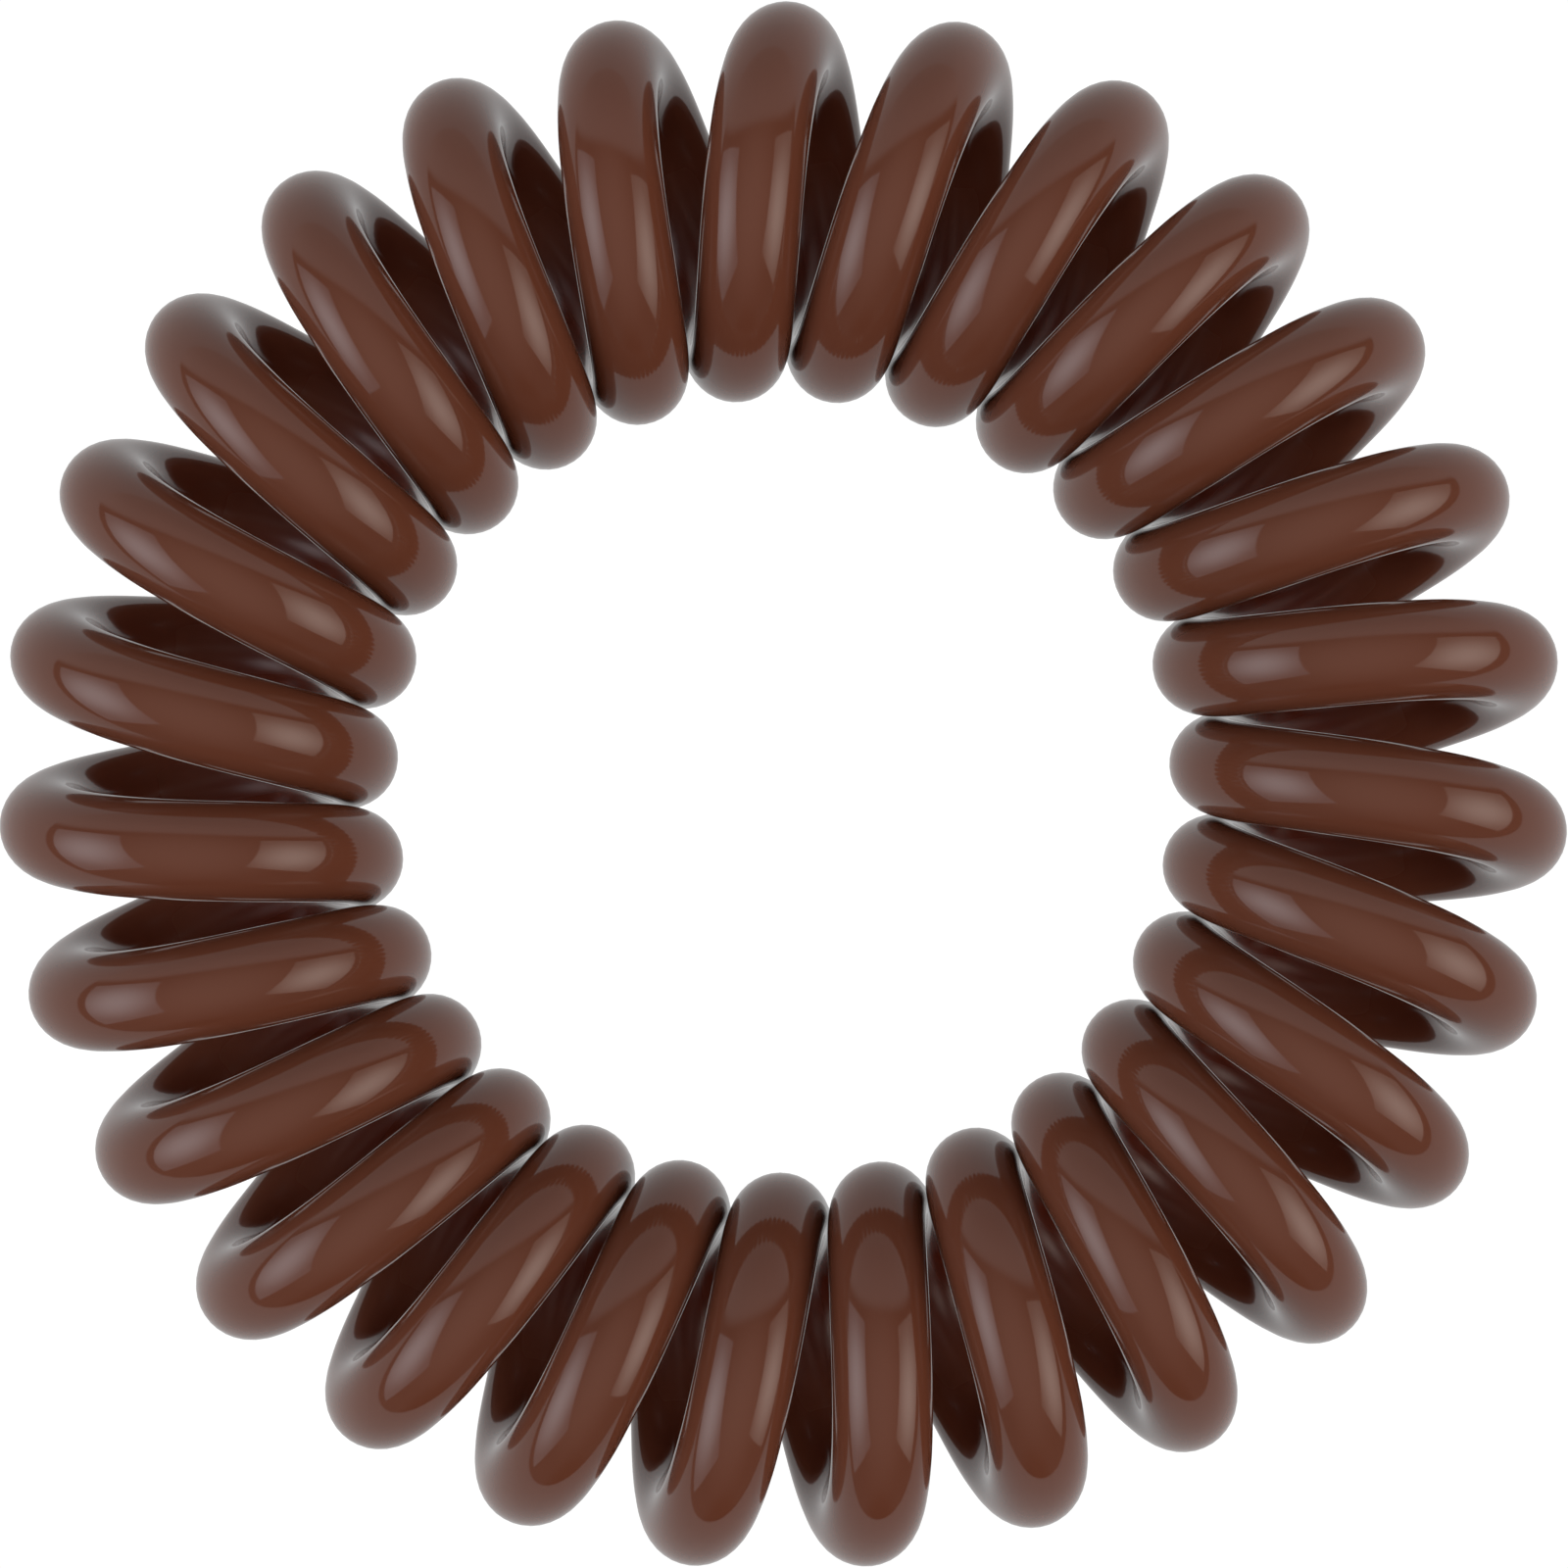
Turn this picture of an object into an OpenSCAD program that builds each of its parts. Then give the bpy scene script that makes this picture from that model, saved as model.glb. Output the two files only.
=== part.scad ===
// Spiral hair tie. One polyurethane cord is wound as a coil, and the coil is closed into a ring.
// Its turns crowd side by side round the hole, and fan out towards the outside of the ring.
// The ring lies flat: its axis is Z, its lowest points are at Z = 0, and turn 0 has its tip on +Y.

/* [Cord] */
// Diameter of the cord
cord_d = 2.5; // [1.6:0.1:3.4]

/* [Coil] */
// Outside diameter of the coil, which is the height of the ring as it lies
coil_outer_d = 10.1; // [8:0.1:14]
// Number of turns in the whole ring, which sets how wide the ring is
turns = 27; // [14:1:40]
// Gap between neighbouring turns where they crowd round the hole
turn_gap = 0.08; // [0.05:0.01:1]
// Hand of the coil, as on a screw thread
winding = "left"; // [left, right]

/* [Smoothness] */
// Flats round the cord
cord_sides = 10; // [8:1:16]
// Most triangles that the skin of the cord may have
skin_triangles = 12000; // [8000:500:12500]

/* [Hidden] */

// Radius of one turn, measured to the middle of the cord
turn_r = (coil_outer_d - cord_d) / 2;

// Radius at which upright turns would stand side by side, one gap apart, in a circle
upright_r = (cord_d + turn_gap) / (2 * sin(180 / turns));
// The turns lean as they wind on, so they need a slightly wider circle to keep that gap
crowded_r = upright_r / sqrt(1 - pow(upright_r / (turns * turn_r), 2));

// Radius of the circle that the coil is wound round
ring_r = crowded_r + turn_r;
// Angle about Z at which turn 0 has its tip
first_tip = 90;
// Sense in which the cord goes round Z as it winds
sense = winding == "left" ? 1 : -1;

// Cross-sections in one turn: a multiple of 4 puts one at its tip, crown, throat and foot
turn_sections = 4 * floor(skin_triangles / (4 * 2 * cord_sides * turns));
sections = turns * turn_sections;

// Unit vectors at the angle t about Z: away from the axis, and onwards round the ring
function away(t) = [cos(t), sin(t), 0];
function onwards(t) = [-sin(t), cos(t), 0];

// Angle about Z of the cord once it has wound through the angle a, counted from the tip of turn 0
function ring_angle(a) = first_tip + sense * a / turns;

// Unit vector across the coil, from the circle that it is wound round to the middle of the cord
function across(a) = cos(a) * away(ring_angle(a)) + [0, 0, sin(a)];

// Middle of the cord
function cord_middle(a) =
    ring_r * away(ring_angle(a)) + turn_r * across(a) + [0, 0, coil_outer_d / 2];

// Unit vector along the cord, which is always square to across(a)
function cord_heading(a) =
    let (
        winding_part = turn_r * ([0, 0, cos(a)] - sin(a) * away(ring_angle(a))),
        onward_part = sense * (ring_r + turn_r * cos(a)) / turns * onwards(ring_angle(a)),
        heading = winding_part + onward_part
    )
    heading / norm(heading);

// Corners of one cross-section, counted round the cord from its outermost point on the coil
function cross_section(a) =
    let (out = across(a), side = cross(cord_heading(a), out))
    [
        for (k = [0 : cord_sides - 1])
            let (b = 360 * k / cord_sides)
            cord_middle(a) + cord_d / 2 * (cos(b) * out + sin(b) * side)
    ];

// Number of corner k of section i; both counts run on past the last one to the first
function corner(i, k) = (i % sections) * cord_sides + k % cord_sides;

// One closed skin swept along the cord, whose last section joins the first
module coiled_cord() {
    corners = [
        for (i = [0 : sections - 1])
            each cross_section(360 * i / turn_sections)
    ];
    skin = [
        for (i = [0 : sections - 1], k = [0 : cord_sides - 1])
            each [
                [corner(i, k), corner(i + 1, k), corner(i + 1, k + 1)],
                [corner(i, k), corner(i + 1, k + 1), corner(i, k + 1)]
            ]
    ];
    color("saddlebrown")
        polyhedron(points = corners, faces = skin, convexity = 10);
}

coiled_cord();
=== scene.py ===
# %% [markdown]
# # A spiral hair tie, seen from above
#
# A spiral hair tie is one springy plastic cord. It is wound into a coil like a telephone cord,
# and the two ends of the coil are welded together, so the coil becomes a ring.
# This lesson rebuilds one from a product picture: first its shape, then its glossy plastic,
# then the studio whose lights show as bright patches all over that gloss.
#
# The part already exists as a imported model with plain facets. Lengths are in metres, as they
# are in Blender, except where a comment says that they are in millimetres.

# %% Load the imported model
import math

import bpy
import numpy as np
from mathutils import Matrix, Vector


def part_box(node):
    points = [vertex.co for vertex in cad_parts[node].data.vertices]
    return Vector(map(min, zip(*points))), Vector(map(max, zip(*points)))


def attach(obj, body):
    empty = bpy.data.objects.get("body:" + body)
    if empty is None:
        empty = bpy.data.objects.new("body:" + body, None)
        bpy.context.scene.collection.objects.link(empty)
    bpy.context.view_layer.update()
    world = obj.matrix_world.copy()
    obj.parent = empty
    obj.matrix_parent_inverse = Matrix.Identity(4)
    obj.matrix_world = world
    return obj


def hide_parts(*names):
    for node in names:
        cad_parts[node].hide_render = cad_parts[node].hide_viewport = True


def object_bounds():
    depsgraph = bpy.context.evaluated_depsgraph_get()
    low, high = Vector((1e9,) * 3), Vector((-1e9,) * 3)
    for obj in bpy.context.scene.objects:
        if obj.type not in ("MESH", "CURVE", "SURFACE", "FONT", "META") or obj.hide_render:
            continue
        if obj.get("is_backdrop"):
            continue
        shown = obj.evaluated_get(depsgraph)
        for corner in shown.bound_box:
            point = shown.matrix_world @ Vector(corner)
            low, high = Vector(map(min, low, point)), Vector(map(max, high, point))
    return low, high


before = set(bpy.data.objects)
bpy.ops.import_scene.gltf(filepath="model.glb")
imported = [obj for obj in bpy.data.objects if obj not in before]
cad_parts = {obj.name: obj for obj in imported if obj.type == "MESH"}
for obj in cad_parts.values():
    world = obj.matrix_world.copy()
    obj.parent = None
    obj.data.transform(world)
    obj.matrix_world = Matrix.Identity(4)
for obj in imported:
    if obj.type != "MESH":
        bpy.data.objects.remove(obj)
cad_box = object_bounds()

MM = 0.001

# %% [markdown]
# # Sizes
#
# The cord is 2.5 mm thick and makes 27 turns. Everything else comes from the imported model's box.
# The ring lies flat, so the height of the box is the outside diameter of the coil.
# Turn 0 has its outermost tip exactly on +Y, so the box also ends at that tip.

# %% Work out the coil from the box
CORD_D = 2.5 * MM
TURNS = 27
WINDING = 1  # 1 winds like a left-hand screw, -1 like a right-hand screw

box_low, box_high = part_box("coiled_cord")
cord_r = CORD_D / 2
coil_outer_d = box_high.z - box_low.z
turn_r = coil_outer_d / 2 - cord_r
ring_r = box_high.y - cord_r - turn_r
mid_z = (box_low.z + box_high.z) / 2
print(f"Coil {coil_outer_d / MM:.2f} mm thick, wound round a circle of radius {ring_r / MM:.2f} mm")

# %% [markdown]
# # The line that the cord follows
#
# A curve with a bevel would be the quick way to a tube, but Blender decides by itself how the
# tube's section turns along a curve, and a closed coil can end with a twist at its seam.
# Here the section is set by formula instead. The direction across the coil is known
# everywhere, and it is always square to the cord, so it is a ready-made reference
# that meets itself again at the end of the last turn.
#
# One angle runs through the whole cord. While it goes once round a turn,
# the place on the ring moves on by one twenty-seventh of a circle.
#
# The length of this line has no simple formula. It is measured on one turn instead, in so many
# short straight steps that the sum is right to a few millionths.

# %% Find the middle of the cord, its two side directions and its length
FIRST_TIP = math.radians(90)
LENGTH_STEPS = 720


def cord_line(wound):
    """Middle of the cord, and the directions across and beside it, for an array of wound angles."""
    around = FIRST_TIP + WINDING * wound / TURNS
    away = np.stack([np.cos(around), np.sin(around), np.zeros_like(around)], axis=1)
    onwards = np.stack([-np.sin(around), np.cos(around), np.zeros_like(around)], axis=1)
    up = np.array([0.0, 0.0, 1.0])
    cos_wound, sin_wound = np.cos(wound)[:, None], np.sin(wound)[:, None]
    across = cos_wound * away + sin_wound * up
    middle = ring_r * away + turn_r * across + mid_z * up
    heading = turn_r * (cos_wound * up - sin_wound * away)
    heading = heading + WINDING * (ring_r + turn_r * cos_wound) / TURNS * onwards
    heading /= np.linalg.norm(heading, axis=1, keepdims=True)
    return middle, across, np.cross(heading, across)


one_turn = np.linspace(0, 2 * math.pi, LENGTH_STEPS + 1)
turn_line = cord_line(one_turn)[0]
turn_length = np.linalg.norm(np.diff(turn_line, axis=0), axis=1).sum()
cord_length = TURNS * turn_length
print(f"The cord is {cord_length / MM:.0f} mm long, {turn_length / MM:.1f} mm for each turn")

# %% [markdown]
# # The cord as a mesh
#
# A glossy tube gives away every facet, because a mirrored edge jumps from face to face.
# So the mesh is fine: 90 sections in each turn and 36 corners in each section, which
# stays under 200,000 triangles. The seam joins the last section to the first.
#
# The mesh also gets a UV map in real millimetres, along the cord and round it.
# With it the material can tell the inner side of the coil from the outer side.

# %% Build the closed tube
SECTIONS_PER_TURN = 90
CORNERS = 36


def build_cord(name):
    """One closed tube along the cord's line, as a new object with a UV map in millimetres."""
    sections = TURNS * SECTIONS_PER_TURN
    wound = np.arange(sections) * 2 * math.pi / SECTIONS_PER_TURN
    middle, across, beside = cord_line(wound)
    turned = np.arange(CORNERS) * 2 * math.pi / CORNERS
    cos_turned, sin_turned = np.cos(turned)[None, :, None], np.sin(turned)[None, :, None]
    skin = middle[:, None] + cord_r * (cos_turned * across[:, None] + sin_turned * beside[:, None])

    # Each face spans sections i and i + 1, and corners k and k + 1
    i, k = (grid.ravel() for grid in np.meshgrid(np.arange(sections), np.arange(CORNERS), indexing="ij"))
    rows = np.stack([i, i, i + 1, i + 1], axis=1)
    columns = np.stack([k, k + 1, k + 1, k], axis=1)
    faces = (rows % sections) * CORNERS + columns % CORNERS

    mesh = bpy.data.meshes.new(name)
    mesh.from_pydata(skin.reshape(-1, 3).tolist(), [], faces.tolist())
    along = rows * cord_length / sections / MM
    girth = columns * math.pi * CORD_D / CORNERS / MM
    uv = mesh.uv_layers.new(name="millimetres")
    uv.data.foreach_set("uv", np.stack([along, girth], axis=2).astype(np.float32).ravel())
    mesh.shade_smooth()
    mesh.validate()
    made = bpy.data.objects.new(name, mesh)
    bpy.context.scene.collection.objects.link(made)
    return made


cord = build_cord("spiral_cord")
print(f"{cord.name}: {2 * len(cord.data.polygons)} triangles")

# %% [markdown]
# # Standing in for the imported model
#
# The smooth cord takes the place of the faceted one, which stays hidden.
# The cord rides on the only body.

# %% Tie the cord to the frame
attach(cord, "root")
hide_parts("coiled_cord")
print(f"{cord.name} rides on root and stands for coiled_cord")

# %% [markdown]
# # Colours and nodes
#
# Colours are picked as sRGB hex values, the way a paint program shows them. Blender's shaders
# work in linear light, so one function turns them over. One more function adds a node to a tree,
# sets its properties and fills its sockets, either with a value or with a link.

# %% Helpers for materials
# Settings with which a Map Range node starts and stops gently and goes no further
GENTLE = {"clamp": True, "interpolation_type": "SMOOTHSTEP"}


def linear(hex_colour):
    """Linear RGBA of an sRGB hex colour such as #5c3527."""
    parts = [int(hex_colour[n : n + 2], 16) / 255 for n in (1, 3, 5)]
    return tuple(c / 12.92 if c <= 0.04045 else ((c + 0.055) / 1.055) ** 2.4 for c in parts) + (1.0,)


def add_node(tree, kind, sockets=None, **settings):
    """Adds a node. sockets maps each input's name or number to a value, or to an output to link."""
    made = tree.nodes.new(kind)
    for name, value in settings.items():
        setattr(made, name, value)
    for socket, value in (sockets or {}).items():
        if isinstance(value, bpy.types.NodeSocket):
            tree.links.new(value, made.inputs[socket])
        else:
            made.inputs[socket].default_value = value
    return made


def new_material(name):
    """An empty material and its node tree."""
    made = bpy.data.materials.new(name)
    made.use_nodes = True
    made.node_tree.nodes.clear()
    return made, made.node_tree


print(f"Half bright on the screen, #808080, is {linear('#808080')[0]:.2f} in linear light")

# %% [markdown]
# # Glossy polyurethane
#
# The cord is thermoplastic polyurethane, coloured through with brown pigment. It leaves the
# extruder as a hot, soft strand that is pulled through a round die and cooled in water, so its skin
# is glassy and needs no lacquer. To the eye that gives two things: a deep, even
# body colour, and a sharp clear reflection that is faint face-on and strong at the edges.
#
# The inner side of the coil looks unlike the outer side, and it changes from the tip of a turn
# towards the hole. So two distances are read from the UV map first, and the colour and the
# roughness are then made from them. Nothing is painted by hand, and it fits every turn alike.

# %% Tell where a point lies on its turn
def place_on_turn(tree):
    """Millimetres round the cord from the coil's innermost line, and along it from the turn's tip."""
    on_skin = add_node(tree, "ShaderNodeUVMap", uv_map="millimetres")
    part = add_node(tree, "ShaderNodeSeparateXYZ", {"Vector": on_skin.outputs["UV"]})

    # The girth counts from the outermost line, and the innermost one is half a girth on
    half_girth = math.pi * cord_r / MM
    beside = add_node(tree, "ShaderNodeMath", {0: part.outputs["Y"], 1: half_girth}, operation="SUBTRACT")
    off_line = add_node(tree, "ShaderNodeMath", {0: beside.outputs["Value"]}, operation="ABSOLUTE")

    # Each turn has its tip at a whole number of turns along the cord
    half_turn = turn_length / 2 / MM
    past_tip = add_node(tree, "ShaderNodeMath", {0: part.outputs["X"], 1: half_turn}, operation="PINGPONG")
    return off_line.outputs["Value"], past_tip.outputs["Value"]


print(f"Half a girth is {math.pi * cord_r / MM:.2f} mm, half a turn {turn_length / 2 / MM:.2f} mm")

# %% [markdown]
# # The brown of the skin
#
# The pigment is never mixed perfectly, so the brown drifts a little from place to place. A noise
# texture mixes two browns that are only just apart. Its scale is set by the distance over which
# the colour drifts, which is several times the thickness of the cord.

# %% Mix the brown of the skin
SKIN_BROWNS = ("#6f4230", "#744534")
PIGMENT_DRIFT = 9 * MM


def brown_of_skin(tree):
    """Brown pigment that isn't quite evenly mixed."""
    place = add_node(tree, "ShaderNodeTexCoord")
    drift = add_node(
        tree,
        "ShaderNodeTexNoise",
        {"Vector": place.outputs["Object"], "Scale": 1 / PIGMENT_DRIFT, "Detail": 2.0},
    )
    brown = add_node(
        tree,
        "ShaderNodeMix",
        {"Factor": drift.outputs["Fac"], "A": linear(SKIN_BROWNS[0]), "B": linear(SKIN_BROWNS[1])},
        data_type="RGBA",
    )
    return brown.outputs["Result"]


print(f"The brown drifts over {PIGMENT_DRIFT / MM:.0f} mm, which is {PIGMENT_DRIFT / CORD_D:.1f} cords")

# %% [markdown]
# # Light inside the coil
#
# Polyurethane also lets some light through. The white ground shines through the lower strands,
# so the inside of the coil is lighter than its sheltered place would make it. Light that scatters
# inside the cord is slow to render, so a second brown on the inner side of the coil stands in for it.
# It is pale where the turns fan out, and deeper and redder towards the hole, where they stand
# close and only light that has gone through plastic gets in.

# %% Mix in the brown of the inner side
PALE_BROWN, DEEP_BROWN = "#935a45", "#6c2d1b"

# In millimetres, along the cord from the tip of the turn, and round it from the innermost line
PALE_FADES = (3.5, 7.0)
INNER_EDGE = (0.9, 1.7)


def brown_of_cord(tree, off_line, past_tip):
    """The brown of the skin, and on the inner side one that stands in for the light inside."""
    towards_hole = add_node(
        tree,
        "ShaderNodeMapRange",
        {"Value": past_tip, "From Min": PALE_FADES[0], "From Max": PALE_FADES[1]},
        **GENTLE,
    )
    inner_brown = add_node(
        tree,
        "ShaderNodeMix",
        {"Factor": towards_hole.outputs["Result"], "A": linear(PALE_BROWN), "B": linear(DEEP_BROWN)},
        data_type="RGBA",
    )
    off_inner_side = add_node(
        tree,
        "ShaderNodeMapRange",
        {"Value": off_line, "From Min": INNER_EDGE[0], "From Max": INNER_EDGE[1]},
        **GENTLE,
    )
    brown = add_node(
        tree,
        "ShaderNodeMix",
        {
            "Factor": off_inner_side.outputs["Result"],
            "A": inner_brown.outputs["Result"],
            "B": brown_of_skin(tree),
        },
        data_type="RGBA",
    )
    return brown.outputs["Result"]


print(f"The inner side is {2 * INNER_EDGE[0]} mm wide, and {2 * INNER_EDGE[1]} mm with its soft edges")

# %% [markdown]
# # The print of the winding rod
#
# The skin is nearly a mirror. The inner side is duller, because the hot cord was wound on a rod and
# took its print. The print is faint at the tips of the turns and strong towards the hole.
# It is too fine to show as a relief, so it is made as roughness alone.

# %% Make the roughness of the cord
SKIN_ROUGHNESS = 0.06
TIP_PRINT, HOLE_PRINT = 0.12, 0.34

# In millimetres, along the cord from the tip of the turn, and round it from the innermost line
PRINT_GROWS = (2.0, 5.0)
PRINT_EDGE = (0.4, 1.2)


def roughness_of_cord(tree, off_line, past_tip):
    """Smooth skin, and along the innermost line the duller print of the rod."""
    print_roughness = add_node(
        tree,
        "ShaderNodeMapRange",
        {
            "Value": past_tip,
            "From Min": PRINT_GROWS[0],
            "From Max": PRINT_GROWS[1],
            "To Min": TIP_PRINT,
            "To Max": HOLE_PRINT,
        },
        **GENTLE,
    )
    roughness = add_node(
        tree,
        "ShaderNodeMapRange",
        {
            "Value": off_line,
            "From Min": PRINT_EDGE[0],
            "From Max": PRINT_EDGE[1],
            "To Min": print_roughness.outputs["Result"],
            "To Max": SKIN_ROUGHNESS,
        },
        **GENTLE,
    )
    return roughness.outputs["Result"]


print(f"The print is {2 * PRINT_EDGE[0]} mm wide, and {2 * PRINT_EDGE[1]} mm with its soft edges")

# %% [markdown]
# # The plastic as a whole
#
# One Principled shader takes the brown and the roughness. The index of refraction of polyurethane
# is about 1.5, which is the shader's own default, and it sets how strong the gloss is.

# %% Make the cord of polyurethane
POLYURETHANE_IOR = 1.5


def extruded_polyurethane():
    """Pigmented thermoplastic polyurethane, glossy as it leaves the die."""
    material, tree = new_material("extruded_polyurethane_brown")
    off_line, past_tip = place_on_turn(tree)
    body = add_node(
        tree,
        "ShaderNodeBsdfPrincipled",
        {
            "Base Color": brown_of_cord(tree, off_line, past_tip),
            "Roughness": roughness_of_cord(tree, off_line, past_tip),
            "IOR": POLYURETHANE_IOR,
        },
    )
    add_node(tree, "ShaderNodeOutputMaterial", {"Surface": body.outputs["BSDF"]})
    return material


cord.data.materials.append(extruded_polyurethane())
print(f"{cord.name} is made of {cord.data.materials[0].name}")

# %% [markdown]
# # Sheets for the studio
#
# The ground, the soft boxes and the reflector are flat sheets that glow, because the light of a
# sheet can fade in any way, and it shows in the gloss just as real cloth does.
#
# A sheet needn't show to every kind of ray. Some sheets below are for the camera alone, and others
# for the light and the gloss alone.

# %% Helpers for the sheets
SQUARE = ((-1, -1), (1, -1), (1, 1), (-1, 1))


def flat_sheet(name, corners):
    """A flat sheet through its corners, which is part of the studio and not of the object."""
    mesh = bpy.data.meshes.new(name)
    mesh.from_pydata([tuple(c) for c in corners], [], [range(len(corners))])
    made = bpy.data.objects.new(name, mesh)
    bpy.context.scene.collection.objects.link(made)
    made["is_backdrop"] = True
    return made


def map_corners(sheet, name, places):
    """Gives a sheet a UV map, with one place for each of its corners."""
    uv = sheet.data.uv_layers.new(name=name)
    for corner, place in zip(uv.data, places):
        corner.uv = place


def for_camera_only(sheet):
    """The camera sees the sheet, and no other ray does."""
    sheet.visible_diffuse = False
    sheet.visible_glossy = False
    sheet.visible_transmission = False
    sheet.visible_shadow = False


def lit_acrylic(name, strength):
    """White acrylic that glows evenly with light from behind it."""
    material, tree = new_material(name)
    light = add_node(tree, "ShaderNodeEmission", {"Strength": strength})
    add_node(tree, "ShaderNodeOutputMaterial", {"Surface": light.outputs["Emission"]})
    return material


print(f"A sheet has {len(SQUARE)} corners and one face")

# %% [markdown]
# # The floor that the camera sees
#
# Product pictures of this kind have a pure white ground with no shadow. In a real studio the ground is
# a sheet of white acrylic that is lit from below, and it is pushed to pure white afterwards. The gloss
# still mirrors the sheet as it really was, which is a good deal darker than pure white.
# Two flat sheets in the same place give both: one is seen by the camera alone, and the
# other only lights the object and shows in its gloss.
#
# Seen from above, the first sheet is plain white. Yet a ring that casts no shade at all seems
# to float when it is seen from the side. So the sheet is dimmer in a narrow
# band where the turns stand on it. From above the strands hide that band.

# %% Lay the white floor
FLOOR_HALF = 1.6
WHITE = 1.05
SHADE, SHADE_HALF_WIDTH = 0.36, 2.8 * MM


def shaded_acrylic():
    """White acrylic lit from below, dimmer near the circle on which the turns stand."""
    material, tree = new_material("white_acrylic_ground")
    place = add_node(tree, "ShaderNodeTexCoord")
    away = add_node(tree, "ShaderNodeVectorMath", {0: place.outputs["Object"]}, operation="LENGTH")
    beyond = add_node(tree, "ShaderNodeMath", {0: away.outputs["Value"], 1: ring_r}, operation="SUBTRACT")
    off_circle = add_node(tree, "ShaderNodeMath", {0: beyond.outputs["Value"]}, operation="ABSOLUTE")
    strength = add_node(
        tree,
        "ShaderNodeMapRange",
        {
            "Value": off_circle.outputs["Value"],
            "From Max": SHADE_HALF_WIDTH,
            "To Min": SHADE,
            "To Max": WHITE,
        },
        **GENTLE,
    )
    light = add_node(tree, "ShaderNodeEmission", {"Strength": strength.outputs["Result"]})
    add_node(tree, "ShaderNodeOutputMaterial", {"Surface": light.outputs["Emission"]})
    return material


floor_corners = [Vector((x * FLOOR_HALF, y * FLOOR_HALF, 0)) for x, y in SQUARE]
floor = flat_sheet("floor", floor_corners)
floor.data.materials.append(shaded_acrylic())
for_camera_only(floor)
print(f"The floor is {2 * FLOOR_HALF} m wide, and its shaded band {2 * SHADE_HALF_WIDTH / MM:.1f} mm")

# %% [markdown]
# # Walls for low views
#
# From above the floor fills the picture. A camera near the ground looks past its far edge, so
# four walls of the same white stand round it, and the picture stays white from every side.

# %% Stand the walls round the floor
wall_up = Vector((0, 0, FLOOR_HALF))
wall_white = lit_acrylic("white_acrylic_walls", WHITE)
for side, (start, end) in enumerate(zip(floor_corners, floor_corners[1:] + floor_corners[:1])):
    wall = flat_sheet(f"wall_{side}", (start, end, end + wall_up, start + wall_up))
    wall.data.materials.append(wall_white)
    for_camera_only(wall)
print(f"{wall.name} is the last of the walls, which are {FLOOR_HALF} m high")

# %% [markdown]
# # The floor that the gloss mirrors
#
# The second sheet lies in the same place. The camera doesn't see it, and all other rays do.
# It gives the undersides of the turns their pale, even light.

# %% Lay the sheet that gives the light
BOUNCE_LIGHT = 0.6

bounce = flat_sheet("floor_bounce", floor_corners)
bounce.data.materials.append(lit_acrylic("dim_acrylic", BOUNCE_LIGHT))
bounce.visible_camera = False
print(f"Its light is {BOUNCE_LIGHT / WHITE:.2f} of what the camera sees")

# %% [markdown]
# # The cloth of a soft box
#
# A soft box is a lamp behind white cloth. The cloth is brightest in front of the lamp and fades
# towards its edges, and that fading is what makes the highlights look soft. An area light by itself
# would glow evenly, so each box is a sheet instead, with a light that falls off from the place of
# the lamp. Its UV map is 0 at the lamp and 1 where the lamp's reach ends.

# %% Make the cloth in front of a lamp
FAR_CLOTH = 0.28


def lamp_cloth(name, colour, strength):
    """White cloth lit from behind by one lamp, which is strongest where the UV map is 0."""
    material, tree = new_material(name)
    place = add_node(tree, "ShaderNodeTexCoord")
    off_lamp = add_node(tree, "ShaderNodeVectorMath", {0: place.outputs["UV"]}, operation="LENGTH")
    fall = add_node(
        tree,
        "ShaderNodeMapRange",
        {"Value": off_lamp.outputs["Value"], "To Min": strength, "To Max": strength * FAR_CLOTH},
        **GENTLE,
    )
    light = add_node(
        tree,
        "ShaderNodeEmission",
        {"Color": linear(colour), "Strength": fall.outputs["Result"]},
    )
    add_node(tree, "ShaderNodeOutputMaterial", {"Surface": light.outputs["Emission"]})
    return material


print(f"Far from its lamp the cloth keeps {FAR_CLOTH} of its light")

# %% [markdown]
# # Soft boxes
#
# Two boxes stand left and right of the object and face it, and they make the brightest patches in
# its gloss. The left box has a cool light and the right one a warm light, and both lean outwards.
# A lamp reaches less far across its box than along it.

# %% Hang the soft boxes
LAMP_REACH = (0.42, 0.50)


def soft_box(name, middle, lean, size, lamp_up, colour, strength):
    """A sheet of lit cloth that faces the ring, with its long side near Y.

    lean is how far its long side leans along X, and lamp_up how far the lamp is above its middle.
    """
    middle = Vector(middle)
    facing = (-middle).normalized()
    upright = Vector((lean, 1, 0))
    upright = (upright - facing * facing.dot(upright)).normalized()
    sideways = upright.cross(facing)
    spots = [(x * size[0] / 2, y * size[1] / 2) for x, y in SQUARE]
    made = flat_sheet(name, [middle + sideways * x + upright * y for x, y in spots])
    map_corners(made, "from_lamp", [(x / LAMP_REACH[0], (y - lamp_up) / LAMP_REACH[1]) for x, y in spots])
    made.data.materials.append(lamp_cloth(name + "_cloth", colour, strength))
    made.visible_camera = False
    print(f"{name}: {size[0]} by {size[1]} m, {middle.length:.2f} m from the ring")


soft_box(
    "soft_box_left",
    middle=(-0.598, -0.112, 0.348),
    lean=-0.16,
    size=(0.60, 0.93),
    lamp_up=0.022,
    colour="#fbfaff",
    strength=2.83,
)
soft_box(
    "soft_box_right",
    middle=(0.599, -0.086, 0.353),
    lean=0.19,
    size=(0.56, 0.84),
    lamp_up=-0.045,
    colour="#fff0e5",
    strength=3.03,
)

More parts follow.
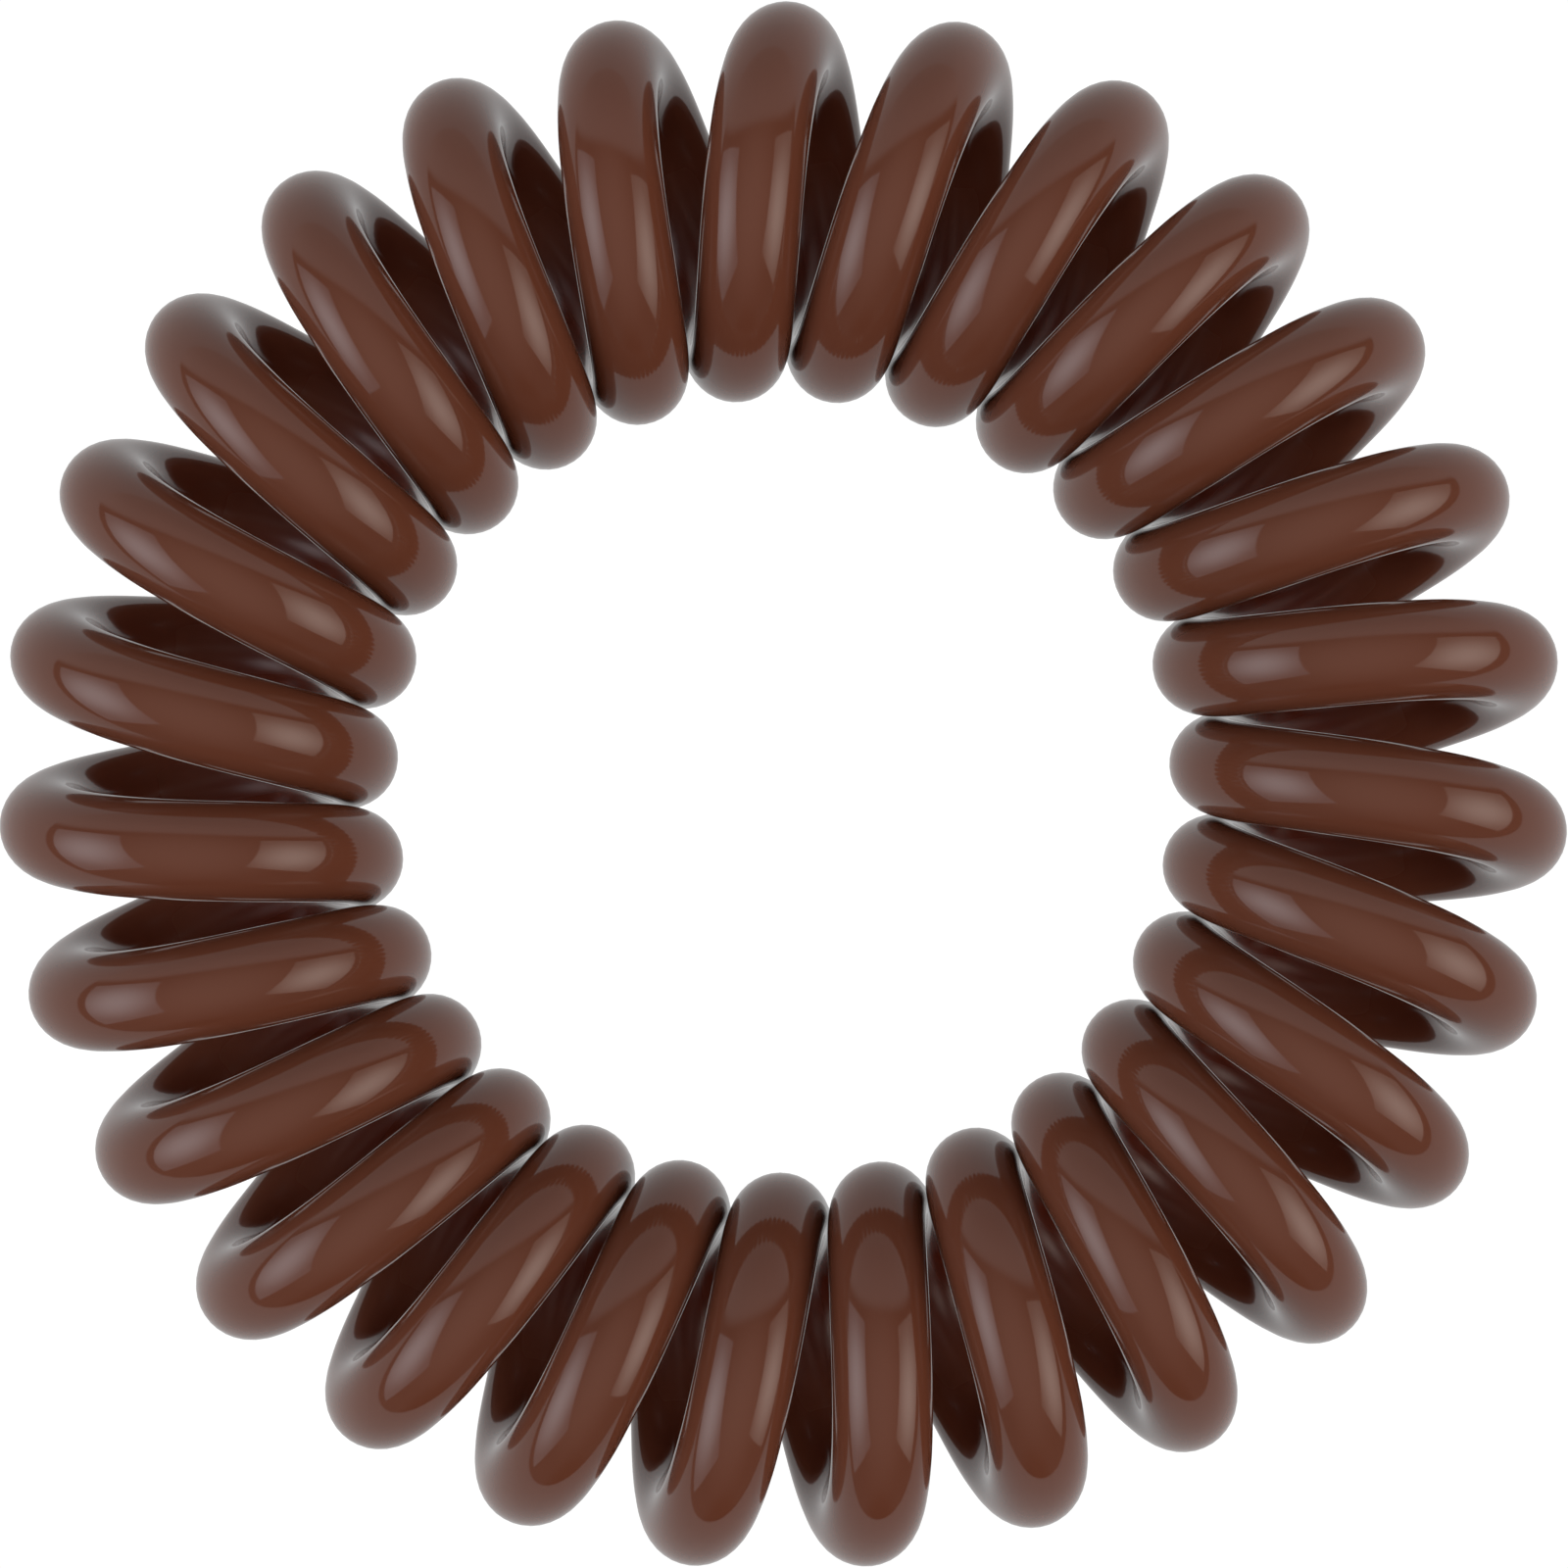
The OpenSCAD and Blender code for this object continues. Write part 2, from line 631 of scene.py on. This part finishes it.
# %% [markdown]
# # The cloth of the reflector
#
# On the side of +Y a wide white cloth hangs in an arch behind the set, and throws light back.
# Its rim is out of the light, so it fades instead of ending in a line.
# A sheet with a clear rim gives that: one number grows from the middle of the arch outwards,
# and turns the cloth from glowing to see-through.

# %% Make the cloth of the reflector
REFLECTOR_WHITE = "#fffaf7"
LOW_CLOTH, HIGH_CLOTH = 0.5, 0.64

# Counted from the middle of the arch's foot, where 1 is its half width or its height
LOW_CLOTH_END, HIGH_CLOTH_START = 0.2, 0.7
RIM_START, RIM_END = 0.84, 1.19


def reflector_cloth(name, share):
    """Lit white cloth with a share of its full glow, which fades out round a half ellipse."""
    material, tree = new_material(name)
    place = add_node(tree, "ShaderNodeTexCoord")
    outwards = add_node(tree, "ShaderNodeVectorMath", {0: place.outputs["UV"]}, operation="LENGTH")
    rim = add_node(
        tree,
        "ShaderNodeMapRange",
        {"Value": outwards.outputs["Value"], "From Min": RIM_START, "From Max": RIM_END},
        **GENTLE,
    )
    glow = add_node(
        tree,
        "ShaderNodeMapRange",
        {
            "Value": outwards.outputs["Value"],
            "From Min": LOW_CLOTH_END,
            "From Max": HIGH_CLOTH_START,
            "To Min": LOW_CLOTH * share,
            "To Max": HIGH_CLOTH * share,
        },
        **GENTLE,
    )
    light = add_node(
        tree,
        "ShaderNodeEmission",
        {"Color": linear(REFLECTOR_WHITE), "Strength": glow.outputs["Result"]},
    )
    clear = add_node(tree, "ShaderNodeBsdfTransparent")
    mixed = add_node(
        tree,
        "ShaderNodeMixShader",
        {0: rim.outputs["Result"], 1: light.outputs["Emission"], 2: clear.outputs["BSDF"]},
    )
    add_node(tree, "ShaderNodeOutputMaterial", {"Surface": mixed.outputs["Shader"]})
    return material


print(f"The cloth glows with {LOW_CLOTH} low down and {HIGH_CLOTH} high up, and its rim with nothing")

# %% [markdown]
# # A reflector that hangs twice
#
# A single cloth that is bright enough in the gloss would also pale the brown of all the strands
# that face it. So it hangs there twice, like the floor: one sheet shows only in the gloss,
# and a dimmer one gives only the soft fill light.

# %% Hang the reflector
ARCH_HALF_WIDTH, ARCH_HEIGHT, ARCH_FAR = 1.76, 1.24, 1.0
FILL_SHARE = 0.3


def hang_arch(name, share):
    """One sheet of the reflector, which throws no shadow on the other and isn't seen by the camera."""
    spots = ((-RIM_END, 0), (RIM_END, 0), (RIM_END, RIM_END), (-RIM_END, RIM_END))
    made = flat_sheet(name, [(x * ARCH_HALF_WIDTH, ARCH_FAR, z * ARCH_HEIGHT) for x, z in spots])
    map_corners(made, "arch", spots)
    made.data.materials.append(reflector_cloth(name + "_cloth", share))
    made.visible_camera = False
    made.visible_shadow = False
    return made


in_gloss = hang_arch("reflector_in_gloss", share=1.0)
in_gloss.visible_diffuse = False
fill = hang_arch("reflector_fill", share=FILL_SHARE)
fill.visible_glossy = False
print(f"The reflector is {2 * ARCH_HALF_WIDTH} m wide and {ARCH_HEIGHT} m high, {ARCH_FAR} m behind the ring")

# %% [markdown]
# # The ceiling
#
# The rest of the studio is dim, and it is painted on the world, which lies behind all the sheets.
# The ceiling over the object catches some warm light, a little on the side of -Y.
# The world's own texture coordinate is the direction in which a ray leaves, so its dot product
# with the direction of the ceiling patch tells how near a ray is to that patch: it is 1 at the
# middle of the patch and about 0 on the horizon.

# %% Paint the ceiling on the world
CEILING_COLOUR, CEILING_GLOW = "#ffe6d8", 0.51
CEILING_PATCH = (0.0, -0.175, 0.985)

# The dot products at which its light begins and would be full, so its middle isn't quite full
CEILING_NEAR = (0.42, 1.2)

world = bpy.data.worlds.new("dim_room")
world.use_nodes = True
room = world.node_tree
room.nodes.clear()
direction = add_node(room, "ShaderNodeTexCoord")
near_patch = add_node(
    room,
    "ShaderNodeVectorMath",
    {0: direction.outputs["Generated"], 1: CEILING_PATCH},
    operation="DOT_PRODUCT",
)
ceiling_light = add_node(
    room,
    "ShaderNodeMapRange",
    {
        "Value": near_patch.outputs["Value"],
        "From Min": CEILING_NEAR[0],
        "From Max": CEILING_NEAR[1],
        "To Max": CEILING_GLOW,
    },
    **GENTLE,
)
ceiling = add_node(
    room,
    "ShaderNodeBackground",
    {"Color": linear(CEILING_COLOUR), "Strength": ceiling_light.outputs["Result"]},
)
print(f"The ceiling's light begins {math.degrees(math.acos(CEILING_NEAR[0])):.0f} degrees from its middle")

# %% [markdown]
# # The walls of the room
#
# The walls of the room are a dark grey all round, and it is darkest low down on the side of -Y,
# where nothing is lit. The two lights of the room are then added together.

# %% Add the walls of the room to the world
WALL_COLOUR, WALL_GLOW = "#fff6f0", 0.12

# How far along Y a ray points where the walls' light begins and is full
WALL_ALONG_Y = (-1.0, -0.9)

direction_parts = add_node(room, "ShaderNodeSeparateXYZ", {"Vector": direction.outputs["Generated"]})
wall_light = add_node(
    room,
    "ShaderNodeMapRange",
    {
        "Value": direction_parts.outputs["Y"],
        "From Min": WALL_ALONG_Y[0],
        "From Max": WALL_ALONG_Y[1],
        "To Max": WALL_GLOW,
    },
    **GENTLE,
)
walls = add_node(
    room,
    "ShaderNodeBackground",
    {"Color": linear(WALL_COLOUR), "Strength": wall_light.outputs["Result"]},
)
both = add_node(
    room,
    "ShaderNodeAddShader",
    {0: ceiling.outputs["Background"], 1: walls.outputs["Background"]},
)
add_node(room, "ShaderNodeOutputWorld", {"Surface": both.outputs["Shader"]})
bpy.context.scene.world = world
print(f"{world.name}: {len(room.nodes)} nodes")

# %% [markdown]
# # The camera
#
# The picture shows the ring straight from above, and a 90 mm lens fits its perspective. The circle
# that the coil is wound round has a radius of 596.1 pixels in the picture, which gives the scale,
# and the lens then gives the height. The camera is turned by less than a degree, because
# the first tip is a little off the upright.
#
# The view transform is Standard, which shows every colour as it is. Blender's default one bends
# the bright tones as film does, and the white ground would turn grey.

# %% Place the camera
PHOTO_WIDTH = 1600
RING_RADIUS_PX = 596.1
RING_CENTRE_PX = (-0.53, -2.20)  # to the right of the middle of the picture, and above it
TIP_TURN = 0.0111  # in radians
LENS, SENSOR = 90.0, 36.0  # in millimetres

metres_per_px = ring_r / RING_RADIUS_PX
height = metres_per_px * PHOTO_WIDTH * LENS / SENSOR
camera_data = bpy.data.cameras.new("camera")
camera_data.lens, camera_data.sensor_width = LENS, SENSOR
camera_data.clip_start, camera_data.clip_end = 0.01, 10
camera = bpy.data.objects.new("camera", camera_data)
camera.rotation_euler = (0, 0, TIP_TURN)
aside = Vector((-RING_CENTRE_PX[0] * metres_per_px, -RING_CENTRE_PX[1] * metres_per_px, 0))
aside.rotate(camera.rotation_euler)
camera.location = Vector((0, 0, mid_z + height)) + aside
bpy.context.scene.collection.objects.link(camera)
bpy.context.scene.camera = camera
bpy.context.scene.view_settings.view_transform = "Standard"
print(f"The camera is {height / MM:.1f} mm above the middle of the ring")

# %% [markdown]
# # The last check
#
# The smooth cord has to fill the same box as the imported model.

# %% Compare the two boxes and finish
boxes = {"cad": cad_box, "visual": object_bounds()}
largest = max(abs(a - b) for corners in zip(*boxes.values()) for a, b in zip(*corners))
print(f"The two boxes differ by at most {largest / MM:.3f} mm")
